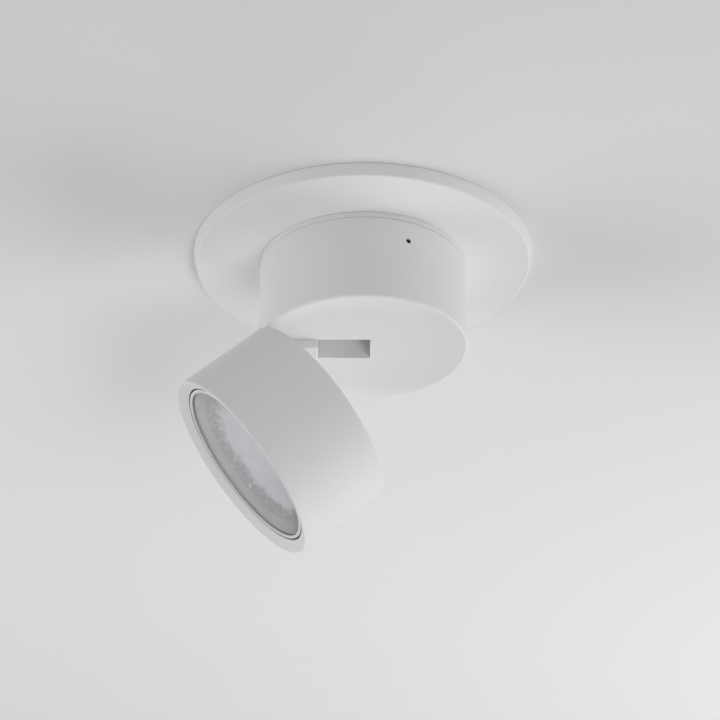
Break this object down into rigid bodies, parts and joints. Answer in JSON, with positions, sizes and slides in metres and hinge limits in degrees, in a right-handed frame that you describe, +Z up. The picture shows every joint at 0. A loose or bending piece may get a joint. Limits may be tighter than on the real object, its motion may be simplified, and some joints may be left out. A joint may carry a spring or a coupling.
{
  "type": "surface mounted ceiling spotlight",
  "caption": "White ceiling spotlight: a round ceiling plate, a short drum that turns beneath it, and a cylindrical lamp head that folds out of the drum on a friction hinge.",
  "frame": {"origin": "where the turning axis of the drum meets the ceiling, which is the centre of the bracket's ceiling screws", "axes": "+Z up into the ceiling; the slot runs from the turning axis towards -X and the head leans towards -X; the hinge axis is along Y"},
  "size_m": [0.226, 0.2184, 0.2038],
  "materials": {
    "white_paint": "fine matte powder coat",
    "zinc_steel": "zinc plated",
    "black_steel": "black oxide",
    "brass": "plain",
    "black_rubber": "matte",
    "acetal": "matte",
    "white_plastic": "moulded",
    "lamp_white": "satin",
    "clear_lens": "clear, polished",
    "bright_reflector": "vapour coated",
    "bare_aluminium": "die cast",
    "board_white": "solder mask",
    "phosphor": "silicone",
    "board_green": "solder mask",
    "winding_tape": "polyester tape",
    "contact_metal": "nickel plated",
    "steatite": "unglazed",
    "lead_sheath": "silicone sheath"
  },
  "bodies": {
    "base": {"mounting_bracket": "zinc_steel", "bracket_bushes": "zinc_steel", "ceiling_plate": "white_paint", "swivel_ring": "white_paint", "ring_screws": "zinc_steel", "cable_grommet": "black_rubber", "terminal_block": "white_plastic", "terminal_screws": "brass", "earth_screw": "brass", "stop_pin": "zinc_steel", "glide_ring": "acetal", "supply_lead": "lead_sheath"},
    "drum": {"drum_shell": "white_paint", "set_screws": "black_steel", "slot_liner": "white_paint", "liner_screws": "zinc_steel", "liner_bush": "black_rubber", "hinge_block": "white_paint", "block_screws": "zinc_steel", "hinge_pins": "black_steel", "friction_washers": "acetal", "drum_lead": "lead_sheath", "driver_case": "white_plastic", "driver_cover": "white_plastic", "driver_board": "board_green", "driver_transformer": "winding_tape", "driver_screws": "zinc_steel", "stop_post": "zinc_steel", "driver_lead": "lead_sheath"},
    "head": {"head_shell": "white_paint", "head_back": "white_paint", "back_screws": "zinc_steel", "hinge_tongue": "white_paint", "tongue_screws": "zinc_steel", "lamp_cradle": "bare_aluminium", "cradle_screws": "zinc_steel", "lamp_springs": "zinc_steel", "lamp_housing": "bare_aluminium", "lamp_rim": "lamp_white", "lamp_lens": "clear_lens", "lamp_reflector": "bright_reflector", "led_board": "board_white", "led_emitter": "phosphor", "lamp_base": "white_plastic", "lamp_contacts": "contact_metal", "contact_holder": "steatite", "head_lead": "lead_sheath"}
  },
  "joints": [
    {"name": "pan", "type": "hinge", "parent": "base", "child": "drum", "pos_m": [0, 0, -0.02], "axis": [0, 0, 1], "range_deg": [-170, 170]},
    {"name": "tilt", "type": "hinge", "parent": "drum", "child": "head", "pos_m": [-0.0598, 0, -0.0637], "axis": [0, 1, 0], "range_deg": [-51, 39]}
  ]
}
